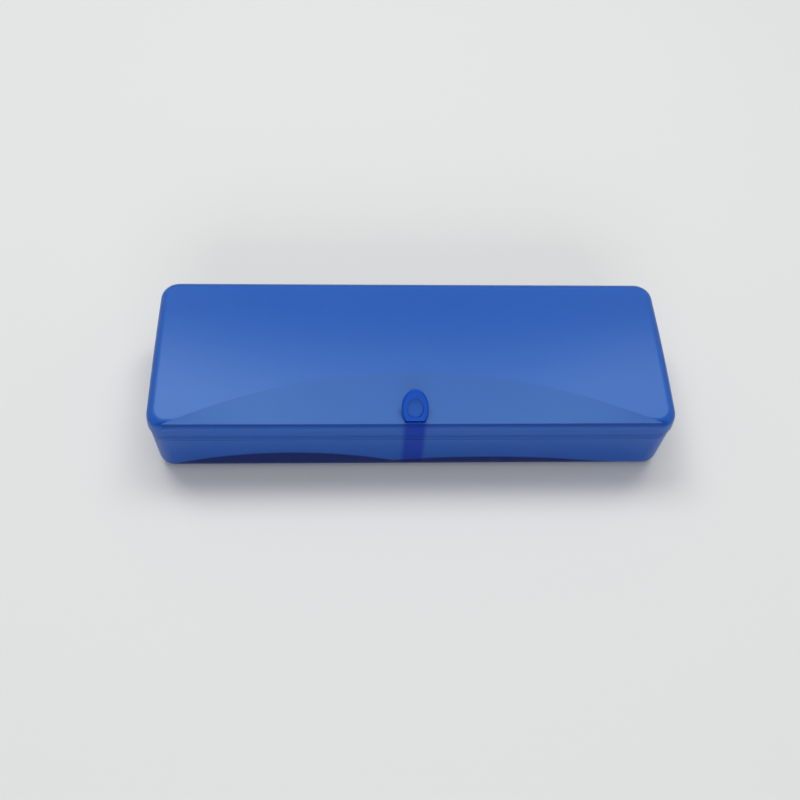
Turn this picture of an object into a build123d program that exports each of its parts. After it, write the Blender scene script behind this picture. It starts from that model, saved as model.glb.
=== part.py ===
from build123d import *
import os
from math import cos, radians, sin, sqrt, tan

# A slim hinged case for reading glasses, in frosted blue plastic: a drafted base, a lid with a
# crowned top, a thumb latch in the middle of the front and two pinned hinges at the back.
# Millimetres, +Z up. The origin is on the resting face, under the middle of the two shells.
# +X is to the right, -Y is the front, +Y is the back.

# Outside of the closed shells
case_length = 160.0  # along X, over the lid's widest line
case_depth = 55.2  # along Y, over the lid's widest line
case_height = 28.3  # resting face to the flat of the lid's top
corner_radius = 6.2  # plan corners at the widest line
widest_height = 19.7  # where the lid's wall stands furthest out
parting_height = 17.3  # top of the base's rim
parting_gap = 0.2  # between the rim and the lid's lower edge

# Base
base_inset = 0.5  # base and lower lid band stand in from the widest line
base_draft = 2.7  # degrees
base_wall = 1.4
base_floor = 1.5
foot_radius = 4.0  # round along the foot of the walls
lip_wall = 1.0  # locating lip inside the rim
lip_height = 1.8  # lip above the rim
lip_root = 2.6  # lip below the rim, where it joins the wall
lip_clearance = 0.25  # lip to the inside of the lid

# Lid
lid_draft = 4.3  # degrees
lid_wall = 1.5
lid_roof = 1.4
lid_edge_radius = 3.0  # round along the top edges
round_limit = 0.75  # most of the front wall's height that this round may take
widest_edge_radius = 0.4
crown_drop = 3.0  # fall of the top from its flat to the top of the front wall
crown_start = 12.0  # Y where the flat ends and the crown begins to fall
ramp_depth = 18.1  # front ramp, at the middle of the front
ramp_half_length = 74.5  # where the ramp's curved edge meets the front wall
ramp_rise = 0.04  # the ramp above the crown, along its curved edge
ramp_front_lift = 0.65  # the ramp's front edge above the crown's line, at the middle
ramp_end_lift = 0.23  # and this much more at the ends of the curved edge
ramp_stations = 13

# Thumb latch: a rocking lever on two trunnions, with a round pad above and a hook below
stem_width = 5.6
stem_thickness = 1.5
stem_setback = 3.55  # front of the stem, behind the lid's widest line
pivot_drop = 5.0  # rocking axis, below the flat of the lid's top
trunnion_radius = 1.1
trunnion_reach = 4.9  # end of a trunnion, from the middle of the latch
trunnion_clearance = 0.05
pad_tilt = 45.0  # degrees up from level, leaning back
pad_width = 8.0
pad_length = 11.2
pad_thickness = 1.5
pad_edge_radius = 0.5
pad_foot_setback = 1.2  # lowest point of the pad's face, behind the widest line
pad_foot_drop = 1.95  # that point, below the flat of the lid's top
pad_foot_reach = 3.8  # that point, from the middle of the oval
dish_width = 5.1
dish_length = 6.2
dish_depth = 0.8
hook_reach = 0.9  # nose of the hook, behind the stem
hook_height = 1.8
hook_lead = 1.2  # height of the sloping nose below the hook
hook_clearance = 0.3
neck_join = 0.5  # the neck runs this far up into the pad
neck_setback = 2.3  # front of the neck where it enters the slot
neck_thickness = 1.8

# Latch seat in the lid
slot_clearance = 0.3  # each side of the neck
slot_front_wall = 0.95  # lid wall left standing in front of the slot
slot_back_setback = 4.8
slot_floor_drop = 4.1  # below the flat of the lid's top
ear_thickness = 1.5
ear_gap = 1.0  # stem to ear
ear_half_depth = 1.95
throat_width = 1.9  # the trunnions snap in from below

# Keeper in the base
cheek_clearance = 0.5
cheek_thickness = 1.2
keeper_clearance = 0.4  # stem to the keeper bar
keeper_thickness = 1.4
keeper_height = 3.8

# Hinges
hinge_inset = 35.0  # middle of each hinge, in from the end of the case
hinge_setback = 1.9  # hinge axis behind the lid's widest line
knuckle_radius = 2.2
lid_knuckle_length = 9.4
base_knuckle_length = 6.0
knuckle_gap = 0.3
stop_height = 3.2  # flat back of the lid's knuckle, above the axis
stop_clearance = 0.1  # that flat to the base's wall when the lid is right back
pin_radius = 0.8
pin_clearance = 0.05
pin_end_recess = 0.3
web_angle = 45.0  # slope of the webs under the base's knuckles

overhang = 6.0  # cutting shapes reach this far past the case

# Places worked out from the sizes above
lid_front = -case_depth / 2
lid_back = case_depth / 2
lid_bottom = parting_height + parting_gap
band_back = lid_back - base_inset
crown_front_height = case_height - crown_drop
top_round = min(lid_edge_radius, (crown_front_height - widest_height) * round_limit)
crown_front = lid_front + (crown_front_height - widest_height) * tan(radians(lid_draft))
crown_run = crown_start - crown_front
crown_radius = (crown_run**2 + crown_drop**2) / (2 * crown_drop)
ramp_radius = (ramp_half_length**2 + ramp_depth**2) / (2 * ramp_depth)
ramp_crest = crown_front + ramp_depth  # middle of the ramp's curved edge

hinge_y = lid_back + hinge_setback
hinge_z = parting_height + parting_gap / 2
web_y = hinge_y + knuckle_radius * sin(radians(web_angle))  # where a web meets its knuckle
web_z = hinge_z - knuckle_radius * cos(radians(web_angle))
web_root = band_back - base_wall / 2
web_foot = web_z - (web_y - web_root) * tan(radians(web_angle))
stop_reach = hinge_y - band_back - stop_clearance
hinge_centres = (hinge_inset - case_length / 2, case_length / 2 - hinge_inset)
lid_knuckle_half = lid_knuckle_length / 2
hinge_half_length = lid_knuckle_half + knuckle_gap + base_knuckle_length

stem_front = lid_front + stem_setback
stem_back = stem_front + stem_thickness
pivot_y = stem_front + stem_thickness / 2
pivot_height = case_height - pivot_drop
pad_foot_y = lid_front + pad_foot_setback
pad_foot_height = case_height - pad_foot_drop
slot_floor_height = case_height - slot_floor_drop
keeper_front = stem_back + keeper_clearance
keeper_back = keeper_front + keeper_thickness
keeper_bottom = parting_height - keeper_height
hook_top = keeper_bottom - hook_clearance
hook_bottom = hook_top - hook_height
cheek_inner = stem_width / 2 + cheek_clearance
cheek_outer = cheek_inner + cheek_thickness
ear_inner = stem_width / 2 + ear_gap
ear_centre = ear_inner + ear_thickness / 2


def plan(inset):
    """Plan outline of the case, drawn in from the widest line."""
    return RectangleRounded(case_length - 2 * inset, case_depth - 2 * inset, corner_radius - inset)


def base_form(inset, bottom, edge_radius):
    """The base's drafted form below the rim, with a round along its foot."""
    with BuildPart() as form:
        with BuildSketch(Plane.XY.offset(parting_height)):
            plan(base_inset + inset)
        extrude(amount=bottom - parting_height, taper=base_draft)
        fillet(form.faces().sort_by(Axis.Z)[0].edges(), edge_radius)
    return form.part


def crown_height(y, lower):
    """Height of the crown's arc at this Y, for a top lowered by the given amount."""
    return case_height - lower - crown_radius + sqrt(crown_radius**2 - (crown_start - y) ** 2)


def top_edges(form):
    """The edges along the top of the walls: those with both ends above the middle of the walls."""
    middle = (widest_height + crown_front_height) / 2
    half_upright = cos(radians(45))  # a face that is nearer to upright than 45 degrees is a wall
    walls = form.faces().filter_by(lambda face: abs(face.normal_at().Z) < half_upright)
    return walls.edges().filter_by(lambda edge: min(v.Z for v in edge.vertices()) > middle)


def ramp_side(x, lower):
    """Side view of the ramp's block at this X: its top falls from the crown to the front edge."""
    cut_front = lid_front - overhang
    edge_y = ramp_crest - ramp_radius + sqrt(ramp_radius**2 - x**2)
    front_height = crown_front_height + ramp_front_lift + ramp_end_lift * (x / ramp_half_length) ** 2
    rise = max(crown_height(edge_y, 0) + ramp_rise - front_height, 0)
    slope = rise / max(edge_y - crown_front, ramp_depth / ramp_stations)
    with BuildSketch(Plane.YZ.offset(x)) as side:
        with BuildLine():
            Polyline(
                (ramp_crest + overhang, widest_height - overhang),
                (ramp_crest + overhang, front_height - lower + (ramp_crest + overhang - crown_front) * slope),
                (cut_front, front_height - lower - (crown_front - cut_front) * slope),
                (cut_front, widest_height - overhang),
                close=True,
            )
        make_face()
    return side.sketch


def ramp_plate(inset, lower):
    """The ramp from the front wall to an arc across the lid. It flattens toward its ends."""
    reach = (case_length + overhang) / 2
    spacing = 2 * reach / (ramp_stations - 1)
    sides = [ramp_side(station * spacing - reach, lower) for station in range(ramp_stations)]
    with BuildPart() as plate:
        loft(sides)
        with BuildSketch(Plane.XY.offset(widest_height)):
            plan(inset)
        extrude(amount=case_height - widest_height, taper=lid_draft, mode=Mode.INTERSECT)
        with BuildSketch(Plane.XY.offset(widest_height)):
            with Locations((0, ramp_crest - ramp_radius)):
                Circle(ramp_radius)
        extrude(amount=case_height - widest_height, mode=Mode.INTERSECT)
    return plate.part


def lid_form(inset, lower, edge_radius):
    """The lid's form above its widest line, drawn in and lowered for the inside."""
    profile_front = lid_front - overhang
    ramp = ramp_plate(inset, lower)
    with BuildPart() as form:
        with BuildSketch(Plane.XY.offset(widest_height)):
            plan(inset)
        extrude(amount=case_height - widest_height, taper=lid_draft)
        with BuildSketch(Plane.YZ):
            with BuildLine():
                Polyline(
                    (crown_start, case_height - lower),
                    (lid_back + overhang, case_height - lower),
                    (lid_back + overhang, widest_height - overhang),
                    (profile_front, widest_height - overhang),
                    (profile_front, crown_height(profile_front, lower)),
                )
                TangentArc(
                    (crown_start, case_height - lower),
                    (profile_front, crown_height(profile_front, lower)),
                    tangent=(-1, 0),
                )
            make_face()
        extrude(amount=case_length, both=True, mode=Mode.INTERSECT)
        fillet(top_edges(form), edge_radius)
        add(ramp)
    return form.part


os.makedirs("parts", exist_ok=True)

lid_outside = lid_form(0, 0, top_round)
lid_inside = lid_form(lid_wall, lid_roof, top_round - lid_wall)

base_outside = base_form(0, 0, foot_radius)
base_inside = base_form(base_wall, base_floor, foot_radius - base_wall)

# Keeper: two cheeks behind the base's front wall, and a bar between them for the hook
with BuildPart() as keeper:
    cheek_depth = keeper_back - lid_front
    with BuildSketch(Plane.XY):
        with Locations((0, lid_front + cheek_depth / 2)):
            with GridLocations(cheek_inner + cheek_outer, 0, 2, 1):
                Rectangle(cheek_thickness, cheek_depth)
    extrude(amount=parting_height)
    with BuildSketch(Plane.XY.offset(keeper_bottom)):
        with Locations((0, (keeper_front + keeper_back) / 2)):
            Rectangle(cheek_inner + cheek_outer, keeper_thickness)
    extrude(amount=keeper_height)
    add(base_outside, mode=Mode.INTERSECT)

# Base shell
with BuildPart() as base_shell:
    add(base_outside)
    add(base_inside, mode=Mode.SUBTRACT)
    # Locating lip, open in the middle of the front for the latch
    with BuildSketch(Plane.XY.offset(parting_height - lip_root)):
        plan(lid_wall + lip_clearance)
        offset(amount=-lip_wall, mode=Mode.SUBTRACT)
        with Locations((0, lid_front)):
            Rectangle(2 * cheek_inner, 2 * (keeper_front - lid_front), mode=Mode.SUBTRACT)
    extrude(amount=lip_root + lip_height)
    add(keeper.part)
    # Two knuckles for each hinge, on webs that slope down to the back wall
    for centre in hinge_centres:
        for start in (centre - hinge_half_length, centre + lid_knuckle_half + knuckle_gap):
            with BuildSketch(Plane.YZ.offset(start)):
                with Locations((hinge_y, hinge_z)):
                    Circle(knuckle_radius)
                with BuildLine():
                    Polyline(
                        (web_root, parting_height),
                        (hinge_y, parting_height),
                        (web_y, web_z),
                        (web_root, web_foot),
                        close=True,
                    )
                make_face()
            extrude(amount=base_knuckle_length)
        with BuildSketch(Plane.YZ.offset(centre)):
            with Locations((hinge_y, hinge_z)):
                Circle(pin_radius + pin_clearance)
        extrude(amount=hinge_half_length + overhang, both=True, mode=Mode.SUBTRACT)

base_shell.part.label = "base_shell"
export_step(base_shell.part, "parts/base_shell.step")

# Ears that hang from the lid's roof and front wall, and carry the latch's trunnions
with BuildPart() as ears:
    ear_back = pivot_y + ear_half_depth
    ear_bottom = pivot_height - ear_half_depth
    with BuildSketch(Plane.XY.offset(ear_bottom)):
        with Locations((0, (lid_front + ear_back) / 2)):
            with GridLocations(2 * ear_centre, 0, 2, 1):
                Rectangle(ear_thickness, ear_back - lid_front)
    extrude(amount=case_height - ear_bottom)
    add(lid_outside, mode=Mode.INTERSECT)

# Lid shell
with BuildPart() as lid_shell:
    add(lid_outside)
    with BuildSketch(Plane.XY.offset(lid_bottom)):
        plan(base_inset)
    extrude(amount=widest_height - lid_bottom)
    # Of the level faces, the lowest is the band's underside and the next the ledge under the widest line
    ledge = lid_shell.faces().filter_by(Plane.XY).sort_by(Axis.Z)[1]
    fillet(ledge.outer_wire().edges(), widest_edge_radius)
    add(lid_inside, mode=Mode.SUBTRACT)
    with BuildSketch(Plane.XY.offset(lid_bottom)):
        plan(lid_wall)
    extrude(amount=widest_height - lid_bottom, mode=Mode.SUBTRACT)
    add(ears.part)
    # Slot that the latch's neck comes up through
    with BuildSketch(Plane.XY.offset(slot_floor_height)):
        with Locations((0, lid_front + (slot_front_wall + slot_back_setback) / 2)):
            Rectangle(stem_width + 2 * slot_clearance, slot_back_setback - slot_front_wall)
    extrude(amount=case_height - slot_floor_height, mode=Mode.SUBTRACT)
    # Sockets for the trunnions, open below through a narrower throat
    with BuildSketch(Plane.YZ):
        with Locations((pivot_y, pivot_height)):
            Circle(trunnion_radius + trunnion_clearance)
        with Locations((pivot_y, pivot_height - ear_half_depth / 2)):
            Rectangle(throat_width, ear_half_depth)
    extrude(amount=ear_inner + ear_thickness, both=True, mode=Mode.SUBTRACT)
    # One knuckle for each hinge, with the flat back that stops the lid
    for centre in hinge_centres:
        with BuildSketch(Plane.YZ.offset(centre - lid_knuckle_half)):
            with Locations((hinge_y, hinge_z)):
                Circle(knuckle_radius)
            with BuildLine():
                Polyline(
                    (lid_back - lid_wall / 2, lid_bottom),
                    (hinge_y + stop_reach, lid_bottom),
                    (hinge_y + stop_reach, hinge_z + stop_height),
                    (lid_back - lid_wall / 2, hinge_z + stop_height),
                    close=True,
                )
            make_face()
        extrude(amount=lid_knuckle_length)
        with BuildSketch(Plane.YZ.offset(centre)):
            with Locations((hinge_y, hinge_z)):
                Circle(pin_radius + pin_clearance)
        extrude(amount=hinge_half_length, both=True, mode=Mode.SUBTRACT)

lid_shell.part.label = "lid_shell"
export_step(lid_shell.part, "parts/lid_shell.step")

# Latch
pad_along = Vector(0, cos(radians(pad_tilt)), sin(radians(pad_tilt)))
pad_outward = Vector(0, -sin(radians(pad_tilt)), cos(radians(pad_tilt)))
pad_foot = Vector(0, pad_foot_y, pad_foot_height)
pad_plane = Plane(pad_foot + pad_along * pad_foot_reach, x_dir=(1, 0, 0), z_dir=pad_outward)
neck_front_y = lid_front + neck_setback

with BuildPart() as latch:
    # Thumb pad: an oval with a dished face, cut level just above the lid
    with BuildSketch(pad_plane):
        Ellipse(pad_width / 2, pad_length / 2)
    extrude(amount=-pad_thickness)
    split(bisect_by=Plane.XY.offset(pad_foot_height), keep=Keep.TOP)
    pad_face = latch.faces().sort_by(Axis(pad_foot, pad_outward))[-1]
    fillet(pad_face.edges().filter_by(GeomType.ELLIPSE), pad_edge_radius)
    with BuildSketch(pad_plane):
        Ellipse(dish_width / 2, dish_length / 2)
    extrude(amount=-dish_depth, mode=Mode.SUBTRACT)
    # Neck, stem and hook in one side profile
    with BuildSketch(Plane.YZ.offset(-stem_width / 2)):
        with BuildLine():
            Polyline(
                (pad_foot_y + neck_thickness / 2, pad_foot_height + neck_join),
                (pad_foot_y, pad_foot_height),
                (neck_front_y, slot_floor_height),
                (stem_front, pivot_height - trunnion_radius),
                (stem_front, hook_bottom),
                (stem_back, hook_bottom),
                (stem_back + hook_reach, hook_bottom + hook_lead),
                (stem_back + hook_reach, hook_top),
                (stem_back, hook_top),
                (stem_back, pivot_height),
                (neck_front_y + neck_thickness, slot_floor_height),
                (pad_foot_y + neck_thickness, pad_foot_height),
                close=True,
            )
        make_face()
    extrude(amount=stem_width)
    # Trunnions
    with BuildSketch(Plane.YZ):
        with Locations((pivot_y, pivot_height)):
            Circle(trunnion_radius)
    extrude(amount=trunnion_reach, both=True)

latch.part.label = "latch"
export_step(latch.part, "parts/latch.step")

# Hinge pins
for side, centre in zip(("left", "right"), hinge_centres):
    with BuildPart() as hinge_pin:
        with BuildSketch(Plane.YZ.offset(centre)):
            with Locations((hinge_y, hinge_z)):
                Circle(pin_radius)
        extrude(amount=hinge_half_length - pin_end_recess, both=True)
    hinge_pin.part.label = f"hinge_pin_{side}"
    export_step(hinge_pin.part, f"parts/hinge_pin_{side}.step")
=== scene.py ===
from math import radians

import bpy
from mathutils import Matrix, Vector

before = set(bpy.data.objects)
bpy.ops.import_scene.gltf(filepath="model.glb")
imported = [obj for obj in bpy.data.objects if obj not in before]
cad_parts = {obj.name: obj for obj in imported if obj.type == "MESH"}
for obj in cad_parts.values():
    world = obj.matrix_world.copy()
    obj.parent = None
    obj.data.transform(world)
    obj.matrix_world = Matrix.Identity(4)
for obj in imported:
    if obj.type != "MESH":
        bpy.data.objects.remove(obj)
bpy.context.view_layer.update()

# The photograph's camera: a frame of 800 pixels a side, and how the part's axes turn into the camera's
FRAME_PIXELS = 800
FOCAL_PIXELS = 987.4
SENSOR_MM = 36.0
CAMERA_TILT = 54.904  # degrees down from level
CAMERA_YAW = 5.088
CAMERA_ROLL = 4.070
CAMERA_NEAR, CAMERA_FAR = 0.01, 20.0
ORIGIN_FROM_CAMERA = Vector((0.002653, -0.000253, 0.328711))  # the part's origin: right, down, ahead

# Colours, linear
WHITE = (1.0, 1.0, 1.0)
SHELL_BLUE = (0.017, 0.115, 0.530)
SHELL_DEEP = (0.014, 0.103, 0.490)
SHELL_CLEAR = (0.20, 0.56, 0.96)  # what passes both surfaces of the frosted wall
SHELL_GLOSS = (0.60, 0.90, 1.00)
LATCH_BLUE = (0.005, 0.056, 0.430)
LATCH_PALE = (0.006, 0.064, 0.470)
LATCH_CLEAR = (0.01, 0.08, 0.70)
LATCH_GLOSS = (0.35, 0.75, 1.00)
DISH_PALE = (0.016, 0.085, 0.430)
# Painted shade on the front wall: darker arches along its foot
FOOT_SHADE_FILTER = (0.07, 0.13, 0.29)
# Painted shade on the front wall: a strip where the latch's stem stands behind it
SEAT_SHADE_FILTER = (0.10, 0.36, 0.88)
RAMP_FILTER = (0.80, 0.93, 0.88)
PIN_STEEL = (0.55, 0.55, 0.57)
FLOOR_PALE = (0.66, 0.66, 0.65)
AMBIENT_COOL = (0.92, 0.96, 1.0)

# The plastic's finish
SHELL_SEEN_THROUGH, SHELL_ROUGHNESS = 0.40, 0.32
LATCH_SEEN_THROUGH, LATCH_ROUGHNESS = 0.10, 0.35
PLASTIC_IOR = 1.49
PLASTIC_SPECULAR = 0.20
CLOUD = {"Scale": 28.0, "Detail": 3.0, "Roughness": 0.5}  # slow change of the body colour
GRAIN = {"Scale": 1200.0, "Detail": 2.0, "Roughness": 0.5}  # fine grain in the gloss
GRAIN_SPREAD = 0.02  # of the roughness, each way
RIPPLE = {"Scale": 160.0, "Detail": 1.0, "Roughness": 0.4}  # faint waves of the moulded surface
RIPPLE_STRENGTH, RIPPLE_HEIGHT = 0.10, 0.0001

# Where the plastic changes its tone, much of it painted shade and painted highlights. A pair of limits is
# where the change begins and ends.
FRONT_WALL = (-0.0262, -0.0256)  # along Y, from the front wall to what lies behind it
WALL_TOP = 0.030
# Painted shade and painted highlights in level bands up the front wall, on its body and gloss
WALL_LIGHT_BANDS = (  # height on the front wall, and how bright the body is there
    (0.0080, 0.92), (0.0140, 1.00), (0.0165, 1.12), (0.0176, 1.22), (0.0186, 0.80), (0.0195, 0.62),
    (0.0204, 1.00), (0.0214, 1.18), (0.0222, 1.00), (0.0232, 1.28), (0.0241, 0.95), (0.0247, 0.68),
    (0.0252, 0.48), (0.0258, 0.48), (0.02592, 1.00),
)
RED_LOSS, BLUE_LOSS = 2.0, 0.45  # a darker band loses more red than green, and less blue
# Two arches of painted shade along the foot of the front wall
FOOT_SHADE_ARCHES = (  # middle and half width along X, height of the top, fall from there to the ends
    (-0.0375, 0.0385, 0.0097, 0.0075),
    (0.0225, 0.034, 0.0066, 0.0028),
)
FOOT_SHADE_EDGE = (-0.0004, 0.0005)  # height above an arch
SEAT_SHADE_EDGE = (0.0022, 0.0042)  # distance from the middle, along X
RAMP_CREST, RAMP_RADIUS = -0.0091, 0.1624  # middle of the ramp's curved edge along Y, and its radius
RAMP_EDGE = (-0.0006, 0.0002)  # distance past that radius
LID_TOP = (0.0256, 0.0259)  # height at which the ramp begins
DISH_CENTRE = (0.0, -0.02371, 0.02904)
DISH_HALF_WIDTH, DISH_HALF_LENGTH = 0.00255, 0.0031
DISH_EDGE = (0.85, 1.1)  # share of the dish's half size

# The pins' drawn wire
WIRE_STRETCH = (40.0, 4000.0, 4000.0)
WIRE_LINES = {"Scale": 1.0, "Detail": 2.0}
WIRE_ROUGHNESS = (0.25, 0.45)

# The studio
FLOOR_HALF = 3.0
FLOOR_FADE = (0.5, 1.3)  # distance at which the lit floor begins and ends to turn into the backdrop
FLOOR_CLOUD = {"Scale": 3.0, "Detail": 2.0}
FLOOR_ROUGHNESS = (0.75, 0.85)
FLOOR_SPECULAR = 0.2
BACKDROP_STRENGTH = 0.64
AMBIENT_STRENGTH = 0.30
LAMPS = (  # name, place, size, watts; they all face the part
    ("overhead", (0.0, -0.05, 1.0), (1.0, 0.9), 2.2),
    ("window_left", (-0.34, 0.39, 1.0), (0.36, 0.5), 4.2),
    ("window_middle", (0.0, 0.36, 1.0), (0.30, 0.44), 1.2),
    ("window_right", (0.38, 0.37, 1.0), (0.36, 0.5), 3.0),
    ("front", (0.0, -1.3, 0.6), (1.0, 0.5), 6.7),
)


def colour(rgb):
    return (*rgb, 1.0)


def adder(tree):
    """A function that adds a shader node to the tree, with its inputs linked or set."""
    def add(kind, inputs=(), **settings):
        node = tree.nodes.new("ShaderNode" + kind)
        for key, value in settings.items():
            setattr(node, key, value)
        for key, value in dict(inputs).items():
            if isinstance(value, bpy.types.NodeSocket):
                tree.links.new(value, node.inputs[key])
            else:
                node.inputs[key].default_value = value
        return node

    return add


def new_material(name):
    """An empty node material, and a function that adds nodes to it."""
    material = bpy.data.materials.new(name)
    material.use_nodes = True
    material.node_tree.nodes.clear()
    return material, adder(material.node_tree)


def calculate(add, operation, first, *second):
    return add("Math", dict(enumerate((first, *second))), operation=operation).outputs[0]


def fade(add, value, limits, results=(0.0, 1.0), smooth=False):
    """The value between its limits, turned into one between the results."""
    inputs = {"Value": value, "From Min": limits[0], "From Max": limits[1]}
    inputs |= {"To Min": results[0], "To Max": results[1]}
    return add("MapRange", inputs, interpolation_type="SMOOTHSTEP" if smooth else "LINEAR").outputs[0]


def blend(add, share, first, second):
    return add("Mix", {0: share, 6: first, 7: second}, data_type="RGBA").outputs[2]


def multiply(add, first, second):
    inputs = {0: 1.0, 6: first, 7: second}
    return add("Mix", inputs, data_type="RGBA", blend_type="MULTIPLY").outputs[2]


def foot_painted_shade(add, axes):
    """0 in two arches of painted shade along the foot of the front wall, and 1 above."""
    arches = []
    for middle, half, top, fall in FOOT_SHADE_ARCHES:
        share = calculate(add, "DIVIDE", calculate(add, "SUBTRACT", axes["X"], middle), half)
        drop = calculate(add, "MULTIPLY", calculate(add, "MULTIPLY", share, share), fall)
        arches.append(calculate(add, "SUBTRACT", top, drop))
    above = calculate(add, "SUBTRACT", axes["Z"], calculate(add, "MAXIMUM", *arches))
    return fade(add, above, FOOT_SHADE_EDGE, smooth=True)


def seat_painted_shade(add, axes):
    """0 in the middle of the front wall, where the latch's stem shows through, with painted shade in a
    strip as wide as the stem, and 1 beside it.
    """
    return fade(add, calculate(add, "ABSOLUTE", axes["X"]), SEAT_SHADE_EDGE, smooth=True)


def ramp_shade(add, place, axes):
    """0 over the ramp, which looks a little greener, and 1 behind its curved edge and below the top."""
    centre = (0.0, RAMP_CREST - RAMP_RADIUS, 0.0)
    flat = add("VectorMath", {0: place, 1: (1.0, 1.0, 0.0)}, operation="MULTIPLY").outputs[0]
    away = add("VectorMath", {0: flat, 1: centre}, operation="DISTANCE").outputs["Value"]
    edge = fade(add, away, [RAMP_RADIUS + past for past in RAMP_EDGE])
    below = fade(add, axes["Z"], LID_TOP, (1.0, 0.0))
    return calculate(add, "MAXIMUM", edge, below)


def wall_painted_light(add, axes):
    """Level bands up the front wall: painted shade along the roof's edge behind it, under the ledge and at
    the seam, and painted highlights along the rims.
    """
    painted_bands = add("ValToRGB", {0: fade(add, axes["Z"], (0.0, WALL_TOP))})
    stops = painted_bands.color_ramp.elements
    for height, level in WALL_LIGHT_BANDS:
        stops.new(height / WALL_TOP).color = colour((level**RED_LOSS, level, level**BLUE_LOSS))
    stops.remove(stops[-1])
    stops.remove(stops[0])
    return painted_bands.outputs[0]


def dish_shade(add, place):
    """1 in the thumb pad's dish, where the plastic is thinner, and 0 on the rim round it."""
    along = Vector((0.0, 1.0, 1.0)).normalized() / DISH_HALF_LENGTH
    across = (1.0 / DISH_HALF_WIDTH, 0.0, 0.0)
    away = add("VectorMath", {0: place, 1: DISH_CENTRE}, operation="SUBTRACT").outputs[0]
    up = add("VectorMath", {0: away, 1: along}, operation="DOT_PRODUCT").outputs["Value"]
    aside = add("VectorMath", {0: away, 1: across}, operation="DOT_PRODUCT").outputs["Value"]
    spot = add("CombineXYZ", {"X": aside, "Y": up}).outputs[0]
    share = add("VectorMath", {0: spot}, operation="LENGTH").outputs["Value"]
    return fade(add, share, DISH_EDGE, (1.0, 0.0))


def shell_tones(add, place, tint, glass, gloss):
    """The shells' body, see-through and gloss colours, changed where the photograph shows it."""
    axes = add("SeparateXYZ", {"Vector": place}).outputs
    behind = fade(add, axes["Y"], FRONT_WALL)
    # Painted shade and highlights in bands up the front wall, on the body and the gloss
    painted_bands = blend(add, behind, wall_painted_light(add, axes), colour(WHITE))
    tint, gloss = multiply(add, tint, painted_bands), multiply(add, gloss, painted_bands)
    tint = multiply(add, tint, blend(add, ramp_shade(add, place, axes), colour(RAMP_FILTER), colour(WHITE)))
    # Painted shade in the foot's arches and the stem's strip, on the body, the see-through and the gloss
    for shade, tone in ((foot_painted_shade(add, axes), FOOT_SHADE_FILTER), (seat_painted_shade(add, axes), SEAT_SHADE_FILTER)):
        mask = calculate(add, "MAXIMUM", shade, behind)
        painted_shade = blend(add, mask, colour(tone), colour(WHITE))
        tint, glass, gloss = (multiply(add, part, painted_shade) for part in (tint, glass, gloss))
    return tint, glass, gloss


def latch_tones(add, place, tint, glass, gloss):
    """The latch's colours: its dish has a paler body."""
    return blend(add, dish_shade(add, place), tint, colour(DISH_PALE)), glass, gloss


def frosted_plastic(name, body, second, clear, gloss, seen_through, roughness, tones):
    """Moulded frosted plastic: a cloudy body, a blurred view through the wall, and a grain in the gloss."""
    material, add = new_material(name)
    place = add("TexCoord").outputs["Object"]
    cloud = add("TexNoise", {"Vector": place, **CLOUD}).outputs["Fac"]
    body = blend(add, cloud, colour(body), colour(second))
    tint, glass, gloss = tones(add, place, body, colour(clear), colour(gloss))
    grain = add("TexNoise", {"Vector": place, **GRAIN}).outputs["Fac"]
    ripple = add("TexNoise", {"Vector": place, **RIPPLE}).outputs["Fac"]
    bump = add("Bump", {"Strength": RIPPLE_STRENGTH, "Distance": RIPPLE_HEIGHT, "Height": ripple})
    common = {
        "Roughness": fade(add, grain, (0.0, 1.0), (roughness - GRAIN_SPREAD, roughness + GRAIN_SPREAD)),
        "Normal": bump.outputs["Normal"],
        "IOR": PLASTIC_IOR,
        "Specular IOR Level": PLASTIC_SPECULAR,
        "Specular Tint": gloss,
    }
    solid = add("BsdfPrincipled", {**common, "Base Color": tint}).outputs["BSDF"]
    through = add("BsdfPrincipled", {**common, "Base Color": glass, "Transmission Weight": 1.0})
    mix = add("MixShader", {0: seen_through, 1: solid, 2: through.outputs["BSDF"]})
    add("OutputMaterial", {"Surface": mix.outputs["Shader"]})
    return material


def steel(name):
    """Drawn wire with faint lines along it."""
    material, add = new_material(name)
    stretch = add("Mapping", {"Vector": add("TexCoord").outputs["Object"], "Scale": WIRE_STRETCH})
    lines = add("TexNoise", {"Vector": stretch.outputs["Vector"], **WIRE_LINES}).outputs["Fac"]
    rough = fade(add, lines, (0.0, 1.0), WIRE_ROUGHNESS)
    shader = add("BsdfPrincipled", {"Base Color": colour(PIN_STEEL), "Metallic": 1.0, "Roughness": rough})
    add("OutputMaterial", {"Surface": shader.outputs["BSDF"]})
    return material


def dress(material, *nodes):
    """One material over the whole of each CAD node."""
    for node in nodes:
        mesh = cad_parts[node].data
        mesh.materials.clear()
        mesh.materials.append(material)


def seen_ray(add):
    """1 for what the camera sees straight on, in a reflection or through the plastic, 0 for light."""
    rays = add("LightPath").outputs
    seen = calculate(add, "MAXIMUM", rays["Is Camera Ray"], rays["Is Glossy Ray"])
    return calculate(add, "MAXIMUM", seen, rays["Is Transmission Ray"])


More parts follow.
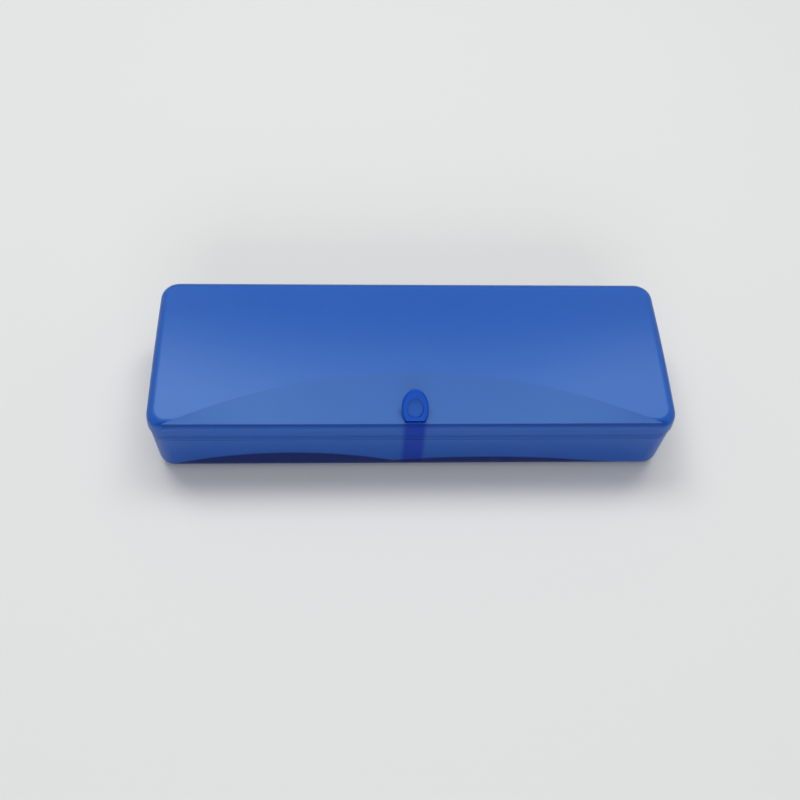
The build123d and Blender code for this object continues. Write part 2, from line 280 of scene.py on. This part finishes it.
def floor_material():
    """A matt pale floor that turns into the backdrop far from the part."""
    material, add = new_material("floor_pale")
    place = add("TexCoord").outputs["Object"]
    cloud = add("TexNoise", {"Vector": place, **FLOOR_CLOUD}).outputs["Fac"]
    floor = add("BsdfPrincipled", {
        "Base Color": colour(FLOOR_PALE),
        "Roughness": fade(add, cloud, (0.0, 1.0), FLOOR_ROUGHNESS),
        "Specular IOR Level": FLOOR_SPECULAR,
    })
    reach = add("VectorMath", {0: place}, operation="LENGTH").outputs["Value"]
    share = calculate(add, "MULTIPLY", fade(add, reach, FLOOR_FADE, smooth=True), seen_ray(add))
    glow = add("Emission", {"Color": colour(WHITE), "Strength": BACKDROP_STRENGTH})
    mix = add("MixShader", {0: share, 1: floor.outputs["BSDF"], 2: glow.outputs["Emission"]})
    add("OutputMaterial", {"Surface": mix.outputs["Shader"]})
    return material


def make_floor():
    mesh = bpy.data.meshes.new("floor")
    h = FLOOR_HALF
    mesh.from_pydata([(-h, -h, 0), (h, -h, 0), (h, h, 0), (-h, h, 0)], [], [(0, 1, 2, 3)])
    mesh.materials.append(floor_material())
    floor = bpy.data.objects.new("floor", mesh)
    bpy.context.scene.collection.objects.link(floor)


def make_world():
    """Soft light from all round, and a pale backdrop for the eye where the floor ends."""
    world = bpy.data.worlds.new("studio")
    bpy.context.scene.world = world
    world.use_nodes = True
    world.node_tree.nodes.clear()
    add = adder(world.node_tree)
    ambient = add("Background", {"Color": colour(AMBIENT_COOL), "Strength": AMBIENT_STRENGTH})
    backdrop = add("Background", {"Color": colour(WHITE), "Strength": BACKDROP_STRENGTH})
    mix = add("MixShader", {0: seen_ray(add), 1: ambient.outputs[0], 2: backdrop.outputs[0]})
    add("OutputWorld", {"Surface": mix.outputs["Shader"]})


def softbox(name, place, size, watts):
    """A rectangular lamp that faces the part."""
    data = bpy.data.lights.new(name, "AREA")
    data.shape = "RECTANGLE"
    data.size, data.size_y = size
    data.energy = watts
    lamp = bpy.data.objects.new(name, data)
    lamp.location = place
    lamp.rotation_euler = (-Vector(place)).to_track_quat("-Z", "Y").to_euler()
    bpy.context.scene.collection.objects.link(lamp)


def make_camera():
    """The camera whose right, down and ahead axes are the part's axes turned by yaw, tilt and roll."""
    data = bpy.data.cameras.new("camera")
    data.sensor_width = SENSOR_MM
    data.lens = FOCAL_PIXELS / FRAME_PIXELS * SENSOR_MM
    data.clip_start, data.clip_end = CAMERA_NEAR, CAMERA_FAR
    camera = bpy.data.objects.new("camera", data)
    level = Matrix(((1, 0, 0), (0, 0, -1), (0, 1, 0)))  # looks along +Y: right, down, ahead
    yaw = Matrix.Rotation(radians(CAMERA_YAW), 3, "Z")
    tilt = Matrix.Rotation(radians(CAMERA_TILT), 3, "X")
    roll = Matrix.Rotation(radians(CAMERA_ROLL), 3, "Z")
    turn = roll @ tilt @ level @ yaw
    right, down, ahead = turn
    facing = Matrix((right, -down, -ahead)).transposed()
    camera.matrix_world = Matrix.Translation(-(turn.transposed() @ ORIGIN_FROM_CAMERA)) @ facing.to_4x4()
    bpy.context.scene.collection.objects.link(camera)
    bpy.context.scene.camera = camera


shell = frosted_plastic(
    "frosted_shell", SHELL_BLUE, SHELL_DEEP, SHELL_CLEAR, SHELL_GLOSS,
    SHELL_SEEN_THROUGH, SHELL_ROUGHNESS, shell_tones)
latch = frosted_plastic(
    "latch_blue", LATCH_BLUE, LATCH_PALE, LATCH_CLEAR, LATCH_GLOSS,
    LATCH_SEEN_THROUGH, LATCH_ROUGHNESS, latch_tones)
dress(shell, "base_shell", "lid_shell")
dress(latch, "latch")
dress(steel("pin_wire"), "hinge_pin_left", "hinge_pin_right")

make_floor()
make_world()
for lamp in LAMPS:
    softbox(*lamp)
make_camera()
bpy.context.scene.view_settings.view_transform = "Standard"
